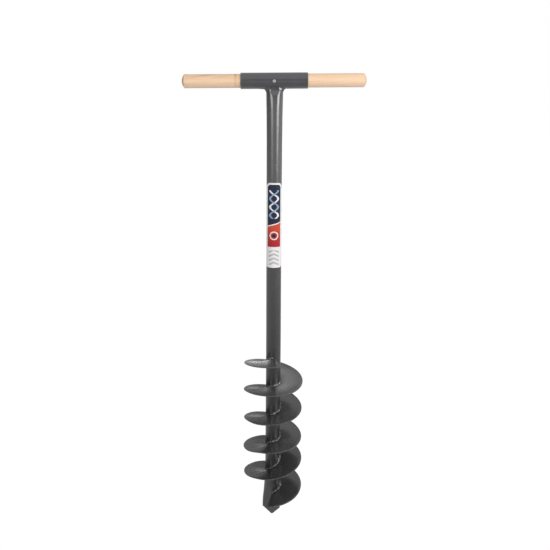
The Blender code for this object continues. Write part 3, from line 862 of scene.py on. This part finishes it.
BLOBS = (((-5, 0.56), (6, 0.62), (30, 0.20), (50, 0.52), (68, 0.60)),
         ((-9, 0.12), (8, 0.48), (24, 0.14), (62, 0.42)),
         ((-42, 0.14), (-19, 0.30), (-4, 0.46), (12, 0.58), (28, 0.48), (42, 0.22)),
         ((-14, 0.10), (4, 0.26), (20, 0.50), (34, 0.56), (47, 0.26)),
         ((-14, 0.10), (2, 0.30), (12, 0.28), (32, 0.20), (58, 0.22)))
for k in range(5):
    bead(f"weld_bead_{k + 1}", f"flight_weld_{k + 1}", k,
         step_angle(k, -BEAD_LEAD if k else 1), step_angle(k, BEAD_SPAN),
         BLOBS[k], 2.3 * k)
bead("weld_bead_end", "flight_end_weld", 4, step_angle(4, ring_steps(4) - 15),
     step_angle(4, ring_steps(4) - 1), (), 19.0)

# ---- radial welds over the seams ----
for k in range(1, 5):
    rings = []
    n = 90
    for i in range(n + 1):
        r = 0.0262 + (0.0725 - 0.0262) * i / n
        drift = noise.noise(Vector((r * 90, k * 4.1, 0.5)))
        ends = min(1.0, 0.3 + 12.0 * min(i / n, 1 - i / n))
        half_w = 0.0021 * ends * (1 + 0.12 * drift)
        rise = 0.00045 * ends * (1 + 0.25 * drift)
        ring = []
        for s in (-1.0, 1.0, 0.85, 0.6, 0.3, 0.0, -0.3, -0.6, -0.85):
            base = len(ring) < 2
            angle = RING_ENDS[k] + s * half_w / r
            kk = k if s > 0 else k - 1
            z = rim_height(angle, kk) + PLATE / 2 + GAP
            up = 0.0 if base else rise * math.sqrt(1 - s * s)
            ring.append(polar(r, angle, z + up))
        rings.append(ring)
    make(loft(rings, wear_and_glint=lambda j, i: 0.1), f"weld_seam_{k}", BLADE_PAINT,
         [f"seam_weld_{k}"], 45.0)

# ---- fillet between tube and sleeve ----
PAD_WAY = Vector((math.cos(math.radians(66.0)), -math.sin(math.radians(66.0)), 0.0))
PAD_OUT = 0.0160                  # from the shaft's axis to the pad's face
rings = []
steps = 160
for i in range(steps):
    t = 2 * math.pi * (i + 0.5) / steps
    c, s = math.cos(t), math.sin(t)
    n = Vector((c, s, 0.0))

    def skin(z, off):
        aa, bb, _ = section(z)
        return Vector((math.copysign(aa - bb, c) + bb * c, bb * s, 0.0)) + n * off

    def under(p, extra):
        y = max(-SLEEVE_R, min(SLEEVE_R, p.y))
        return saddle(SLEEVE_R + extra)(p.x, y)

    drift = noise.noise(Vector((c * 2.2, s * 2.2, 4.0)))
    ripple = 0.05 * (((i * 46 / steps) % 1.0) - 0.5)
    side = abs(c) ** 1.5
    front = max(0.0, -s) * (1.0 if c > 0 else 0.45)
    turn = math.degrees(math.atan2(-s, c))
    pad = math.exp(-((turn - 68.0) / 19.0) ** 4)
    down = 0.0076 * (0.62 + 0.38 * side - 0.40 * front) \
        * (1 + 0.10 * drift + ripple) * 0.97 + 0.0041 * pad
    out = (0.0014 + (0.0032 if c > 0 else 0.0040) * side - 0.0006 * front) \
        * (1 + 0.06 * drift + ripple) * 0.97
    top = skin(1.118, GAP)
    z_top = under(top, GAP)
    # the pad is nearly flat and faces PAD_WAY
    lean_on = max(0.5, n.dot(PAD_WAY))
    reach = max(0.0, (PAD_OUT - top.dot(PAD_WAY)) / lean_on)
    out += pad * (reach - out)
    low = skin(z_top - down, GAP)
    p_b = Vector((low.x, low.y, z_top - down))
    ring = [Vector((top.x, top.y, z_top)), p_b]
    far = top + n * out
    p_c = Vector((far.x, far.y, under(far, GAP) - 0.0005))
    # thin toe that runs on along the sleeve, longest on the left
    toe = out + 0.0005 + 0.0100 * max(0.0, -c) ** 10
    far = top + n * toe
    p_t = Vector((far.x, far.y, under(far, GAP)))
    # knobbly in front
    bulge = 0.0012 * max(0.0, -s) * noise.noise(Vector((c * 11.0, s * 11.0, 2.0)))
    corner = Vector((low.x, low.y, z_top)) + n * 0.0004
    for q in (0.12, 0.28, 0.45, 0.62, 0.8, 0.93):
        p = p_b * (1 - q) ** 2 + corner * 2 * q * (1 - q) * 0.62 + p_c * q * q \
            + (p_b + p_c) / 2 * (2 * q * (1 - q) * 0.38)
        p += n * (0.0003 + bulge * math.sin(math.pi * q) ** 0.7)
        z = z_top - down * (1 - q)
        wall = skin(z, GAP)
        flat = max(0.0, (PAD_OUT - wall.dot(PAD_WAY)) / lean_on)
        flat = Vector((wall.x, wall.y, z)) + n * flat * min(1.0, 5.0 * q) ** 0.6
        ring.append(p.lerp(flat, pad))
    ring += [p_c, p_t]
    for share in (2 / 3, 1 / 3):
        far = top + n * (toe * share)
        ring.append(Vector((far.x, far.y, under(far, GAP))))
    rings.append(ring)
make(loft(rings, caps=False, around=True, wear_and_glint=lambda j, i: 0.5), "weld_socket",
     SOCKET_PAINT, ["socket_weld"], 50.0)

# ---- label film ----
rows, cols = 90, 56
half_w = LABEL_HALF_ANGLE * TUBE_R


def arch(u, depth):
    flat = half_w - depth
    over = max(0.0, abs(u) - flat)
    return depth - math.sqrt(max(0.0, depth * depth - over * over))


bm = bmesh.new()
bm.verts.layers.float.new("wear_and_glint")
uv_layer = bm.loops.layers.uv.new("film")
place = {}
grids = []
for off in (GAP, GAP + LABEL_THICK):
    grid = []
    for j in range(cols + 1):
        s = math.sin(math.pi / 2 * (2 * j / cols - 1))
        u = s * half_w * 0.9999
        z_hi = LABEL_TOP - arch(u, LABEL_ARCH)
        z_lo = LABEL_BOTTOM + arch(u, LABEL_CORNER)
        angle = -math.pi / 2 + s * LABEL_HALF_ANGLE
        column = []
        for i in range(rows + 1):
            t = 0.5 - 0.5 * math.cos(math.pi * i / rows)
            zz = z_lo + (z_hi - z_lo) * t
            v = bm.verts.new(polar(shaft_radius(zz) + off, angle, zz))
            place[v] = (u, zz - LABEL_BOTTOM)
            column.append(v)
        grid.append(column)
    grids.append(grid)
for g_ in grids:
    for j in range(cols):
        for i in range(rows):
            bm.faces.new((g_[j][i], g_[j + 1][i], g_[j + 1][i + 1], g_[j][i + 1]))
lo, hi = grids
loop = [(j, 0) for j in range(cols)] + [(cols, i) for i in range(rows)] + \
    [(j, rows) for j in range(cols, 0, -1)] + [(0, i) for i in range(rows, 0, -1)]
for (j0, i0), (j1, i1) in zip(loop, loop[1:] + loop[:1]):
    bm.faces.new((lo[j0][i0], lo[j1][i1], hi[j1][i1], hi[j0][i0]))
for f in bm.faces:
    for lp in f.loops:
        lp[uv_layer].uv = place[lp.vert]
make(bm, "label_film", STICKER, ["label"], 40.0)


# ================================================================== studio
# share of white that each part of the room sends to the shaft
LIGHT = {
    "back_1": 0.47, "back_2": 0.17, "back_3": 0.60, "back_4": 0.15,
    "left_1": 0.58, "left_2": 0.30, "left_3": 0.0,
    "right_1": 1.03, "right_2": 1.00, "right_3": 0.50,
    "front_1": 0.66, "front_2": 0.68, "front_3": 0.30,
    "top_back": 0.77, "top_front": 0.89,
    "floor_far": 0.80, "floor_near": 0.85, "floor_left": 0.69,
    "floor_right": 0.59, "floor_front": 0.43, "floor_fore": 0.47,
    "box_left": 4.40, "box_left_low": 1.37, "box_right": 7.77, "box_right_low": 1.31,
}


def emit(name, strength):
    """Emission material; strength is a number or a function of the tree."""
    m = bpy.data.materials.new(name)
    m.use_nodes = True
    t = m.node_tree
    t.nodes.clear()
    out = t.nodes.new("ShaderNodeOutputMaterial")
    e = t.nodes.new("ShaderNodeEmission")
    e.inputs["Color"].default_value = (1.0, 1.0, 1.0, 1.0)
    if callable(strength):
        t.links.new(strength(t), e.inputs["Strength"])
    else:
        e.inputs["Strength"].default_value = strength
    t.links.new(e.outputs[0], out.inputs["Surface"])
    return m


def sheet(name, corners, mat, backdrop=False):
    """Stage sheet: a backdrop is only seen, any other one only gives light."""
    bm = bmesh.new()
    bm.faces.new([bm.verts.new(c) for c in corners])
    me = bpy.data.meshes.new(name)
    bm.to_mesh(me)
    bm.free()
    me.materials.append(mat)
    ob = bpy.data.objects.new(name, me)
    scene.collection.objects.link(ob)
    ob.visible_camera = backdrop
    for ray in ("diffuse", "glossy", "transmission", "volume_scatter", "shadow"):
        setattr(ob, "visible_" + ray, not backdrop)
    return ob


class Field:
    """Arithmetic on a node tree, for the light that surrounds the part."""

    def __init__(self, tree):
        self.tree = tree

    def op(self, kind, a, b=None):
        n = self.tree.nodes.new("ShaderNodeMath")
        n.operation = kind
        for i, v in enumerate((a, b)):
            if isinstance(v, bpy.types.NodeSocket):
                self.tree.links.new(v, n.inputs[i])
            elif v is not None:
                n.inputs[i].default_value = v
        return n.outputs[0]

    def step(self, v, a, b):
        n = self.tree.nodes.new("ShaderNodeMapRange")
        n.interpolation_type = "SMOOTHSTEP"
        self.tree.links.new(v, n.inputs["Value"])
        n.inputs["From Min"].default_value = a
        n.inputs["From Max"].default_value = b
        return n.outputs["Result"]

    def window(self, v, a, b, soft):
        out = 1.0
        if a is not None:
            out = self.step(v, a - soft, a + soft)
        if b is not None:
            fall = self.op("SUBTRACT", 1.0, self.step(v, b - soft, b + soft))
            out = fall if a is None else self.op("MULTIPLY", out, fall)
        return out

    def xyz(self, output):
        tc = self.tree.nodes.new("ShaderNodeTexCoord")
        sp = self.tree.nodes.new("ShaderNodeSeparateXYZ")
        self.tree.links.new(tc.outputs[output], sp.inputs[0])
        return sp.outputs


# wall, lowest and highest point of each zone
ROOM = {
    "back_1": ("back", None, 0.35), "back_2": ("back", 0.35, 0.8),
    "back_3": ("back", 0.8, 1.4), "back_4": ("back", 1.4, None),
    "left_1": ("left", None, 0.6), "left_2": ("left", 0.6, 1.3),
    "left_3": ("left", 1.3, None),
    "right_1": ("right", None, 0.6), "right_2": ("right", 0.6, 1.3),
    "right_3": ("right", 1.3, None),
    "front_1": ("front", None, 0.6), "front_2": ("front", 0.6, 1.3),
    "front_3": ("front", 1.3, None),
}
FLOOR = {
    "floor_far": (None, None, 1.2, None), "floor_near": (-0.75, 0.75, -0.2, 1.2),
    "floor_left": (None, -0.75, -1.2, 1.2), "floor_right": (0.75, None, -1.2, 1.2),
    "floor_front": (-0.75, 0.75, -1.2, -0.2), "floor_fore": (None, None, None, -1.2),
}
SIDE, REAR, FRONT, CEILING = 3.0, 3.0, 3.6, 3.0


def wall_light(wall):
    def strength(tree):
        f = Field(tree)
        z = f.xyz("Object")[2]
        total = 0.0
        for name, (side, low, high) in ROOM.items():
            if side == wall:
                total = f.op("ADD", f.op("MULTIPLY", f.window(z, low, high, 0.18),
                                         LIGHT[name]), total)
        return total
    return strength


def ceiling_light(tree):
    f = Field(tree)
    y = f.xyz("Object")[1]
    return f.op("ADD", f.op("MULTIPLY", f.window(y, 0.0, None, 0.8),
                            LIGHT["top_back"]),
                f.op("MULTIPLY", f.window(y, None, 0.0, 0.8), LIGHT["top_front"]))


def floor_light(tree):
    f = Field(tree)
    x, y, z = f.xyz("Object")
    total = 0.0
    for name, (x0, x1, y0, y1) in FLOOR.items():
        part = f.window(y, y0, y1, 0.30)
        if x0 is not None or x1 is not None:
            part = f.op("MULTIPLY", part, f.window(x, x0, x1, 0.30))
        total = f.op("ADD", f.op("MULTIPLY", part, LIGHT[name]), total)
    return total


world = bpy.data.worlds.new("studio")
scene.world = world
world.use_nodes = True
back = world.node_tree.nodes["Background"]
back.inputs["Color"].default_value = (1.0, 1.0, 1.0, 1.0)
back.inputs["Strength"].default_value = 1.0
X, B, F, C = SIDE, REAR, -FRONT, CEILING
sheet("floor", [(-9, -9, -0.0012), (9, -9, -0.0012), (9, 9, -0.0012),
                (-9, 9, -0.0012)], emit("studio_floor", 1.02), backdrop=True)
sheet("floor_bounce", [(-X, F, -0.001), (X, F, -0.001), (X, B, -0.001),
                       (-X, B, -0.001)], emit("floor_bounce", floor_light))
sheet("wall_back", [(-X, B, 0), (X, B, 0), (X, B, C), (-X, B, C)],
      emit("wall_back", wall_light("back")))
sheet("wall_front", [(-X, F, 0), (X, F, 0), (X, F, C), (-X, F, C)],
      emit("wall_front", wall_light("front")))
sheet("wall_left", [(-X, F, 0), (-X, B, 0), (-X, B, C), (-X, F, C)],
      emit("wall_left", wall_light("left")))
sheet("wall_right", [(X, F, 0), (X, B, 0), (X, B, C), (X, F, C)],
      emit("wall_right", wall_light("right")))
sheet("ceiling", [(-X, F, C), (X, F, C), (X, B, C), (-X, B, C)],
      emit("ceiling", ceiling_light))


def softbox(name, azimuth, distance, low, high, width, radiance):
    """Upright soft light that faces the shaft, azimuth in degrees from the front."""
    a = math.radians(azimuth)
    place = Vector((distance * math.sin(a), -distance * math.cos(a), (low + high) / 2))
    data = bpy.data.lights.new(name, "AREA")
    data.shape = "RECTANGLE"
    data.size, data.size_y = width, high - low
    data.energy = radiance * math.pi * width * (high - low)
    ob = bpy.data.objects.new(name, data)
    scene.collection.objects.link(ob)
    ob.location = place
    aim = Vector((0, 0, place.z)) - place
    ob.rotation_euler = aim.to_track_quat("-Z", "Y").to_euler()
    return ob


softbox("softbox_left", -34.0, 2.2, 0.90, 2.1, 1.1, LIGHT["box_left"])
softbox("softbox_left_low", -34.0, 2.2, 0.62, 0.90, 1.1, LIGHT["box_left_low"])
softbox("softbox_right", 46.5, 2.2, 0.80, 2.1, 1.1, LIGHT["box_right"])
softbox("softbox_right_low", 46.5, 2.2, 0.55, 0.80, 1.1, LIGHT["box_right_low"])

# ================================================================== camera
THETA, DIST, HEIGHT = 0.28139691711684, 1.8871896, 1.2245435
PSI, RHO = 0.00413023703685535, 0.005444112666440935
FOCAL_PX, CX, CY, SIZE_PX = 800.0, 273.705, 270.523, 550.0
fwd = Vector((math.sin(PSI) * math.cos(THETA), math.cos(PSI) * math.cos(THETA),
              -math.sin(THETA)))
right = Vector((math.cos(PSI), -math.sin(PSI), 0.0))
up = right.cross(fwd)
r2 = math.cos(RHO) * right + math.sin(RHO) * up
u2 = -math.sin(RHO) * right + math.cos(RHO) * up
cam_data = bpy.data.cameras.new("camera")
cam_data.sensor_fit = "HORIZONTAL"
cam_data.sensor_width = 36.0
cam_data.lens = 36.0 * FOCAL_PX / SIZE_PX
cam_data.shift_x = (SIZE_PX / 2 - CX) / SIZE_PX
cam_data.shift_y = (CY - SIZE_PX / 2) / SIZE_PX
cam_data.clip_start = 0.05
cam_data.clip_end = 50.0
cam = bpy.data.objects.new("camera", cam_data)
scene.collection.objects.link(cam)
basis = Matrix((r2, u2, -fwd)).transposed().to_4x4()
cam.matrix_world = Matrix.Translation((-DIST * math.sin(PSI), -DIST * math.cos(PSI),
                                       HEIGHT)) @ basis
scene.camera = cam
